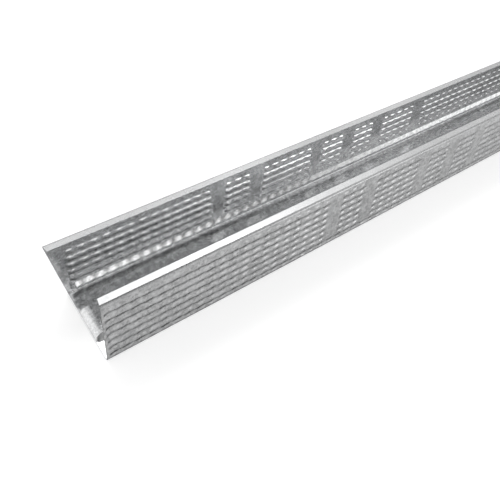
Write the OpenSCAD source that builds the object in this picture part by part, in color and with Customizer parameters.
// Drywall metal stud: a roll-formed steel channel with return lips and a raised web.
// It lies on its web with the open side up. Its length runs along X, its width along Y,
// and the origin is on the floor under its middle. Millimetres.

/* [Stock] */
// Length that the stud is sold in
stud_l = 2400; // [300:100:6000]
// Thickness of the sheet
sheet_t = 0.55; // [0.4:0.05:1.2]

/* [Section] */
// Width across the web, outside to outside
web_w = 48; // [40:1:150]
// Height of the flanges, from the underside of the web to the top of the lips
flange_h = 36; // [20:1:60]
// Width of each return lip, from the outside of its flange to its free edge
lip_w = 5; // [4:0.5:10]
// Radius on the inside of the bends between lip, flange and web
bend_r = 0.8; // [0.3:0.1:1.5]

/* [Raised web] */
// Width of the flat top of the raised middle
raised_w = 18.8; // [8:0.2:24]
// Height that the middle stands above the rest of the web
raised_h = 1.8; // [0.6:0.1:3]
// Width taken by the slope on each side of the raised middle
slope_w = 3.4; // [2.5:0.1:4.5]
// Radius on the inside of the bends at the foot and the head of each slope
crease_r = 0.6; // [0.3:0.1:1]

/* [Hidden] */

// Flat steps that each bend is drawn with
bend_steps = 8;

// The middle of the sheet, seen along the stud, from the free edge of one lip to the
// centre of the web, as straight lines with sharp corners
top_z = flange_h - sheet_t / 2;
low_z = sheet_t / 2;
side_y = web_w / 2 - sheet_t / 2;
half_line = [
    [web_w / 2 - lip_w, top_z],
    [side_y, top_z],
    [side_y, low_z],
    [raised_w / 2 + slope_w, low_z],
    [raised_w / 2, low_z + raised_h],
];
half_radii = [0, bend_r, bend_r, crease_r, crease_r];

// The same line carried on to the free edge of the other lip
last = len(half_line) - 1;
sheet_line = concat(half_line, [for (i = [last:-1:0]) [-half_line[i].x, half_line[i].y]]);
inside_radii = concat(half_radii, [for (i = [last:-1:0]) half_radii[i]]);

// Unit vector across a heading, to its left
function across(heading) = [-sin(heading), cos(heading)];

// Direction from point a to point b, in degrees
function heading(a, b) = atan2(b.y - a.y, b.x - a.x);

// Directions in which a line reaches and leaves its point i
function heading_in(line, i) = heading(line[max(i, 1) - 1], line[max(i, 1)]);
function heading_out(line, i) =
    let (start = min(i, len(line) - 2)) heading(line[start], line[start + 1]);

// Angle that the line turns through at point i, anticlockwise positive, 0 at its ends
function turn(line, i) = (heading_out(line, i) - heading_in(line, i) + 540) % 360 - 180;

// Points of one face of the sheet around the bend at point i. The face lies at `side` to
// the left of the middle line, and all faces of a bend share the bend's centre.
function bend_points(line, radii, i, side) =
    let (
        angle = turn(line, i),
        start = heading_in(line, i),
        middle_r = sign(angle) * (radii[i] + sheet_t / 2),
        setback = middle_r * tan(angle / 2),
        centre = line[i] + middle_r * across(start) + setback * across(start + 90),
        steps = angle == 0 ? 0 : bend_steps
    )
    [for (k = [0:steps]) centre + (side - middle_r) * across(start + angle * k / max(steps, 1))];

// One whole face of the sheet, and its points in the opposite order
function face_points(line, radii, side) =
    [for (i = [0:len(line) - 1]) each bend_points(line, radii, i, side)];
function reversed(points) = [for (i = [len(points) - 1:-1:0]) points[i]];

// The sheet seen along the stud: out along one face and back along the other
module section() {
    left_face = face_points(sheet_line, inside_radii, sheet_t / 2);
    right_face = face_points(sheet_line, inside_radii, -sheet_t / 2);
    polygon(concat(left_face, reversed(right_face)));
}

// The whole stud: its section run along X
module stud() {
    color("lightgray")
        translate([-stud_l / 2, 0, 0])
            rotate([90, 0, 90])
                linear_extrude(stud_l)
                    section();
}

stud();
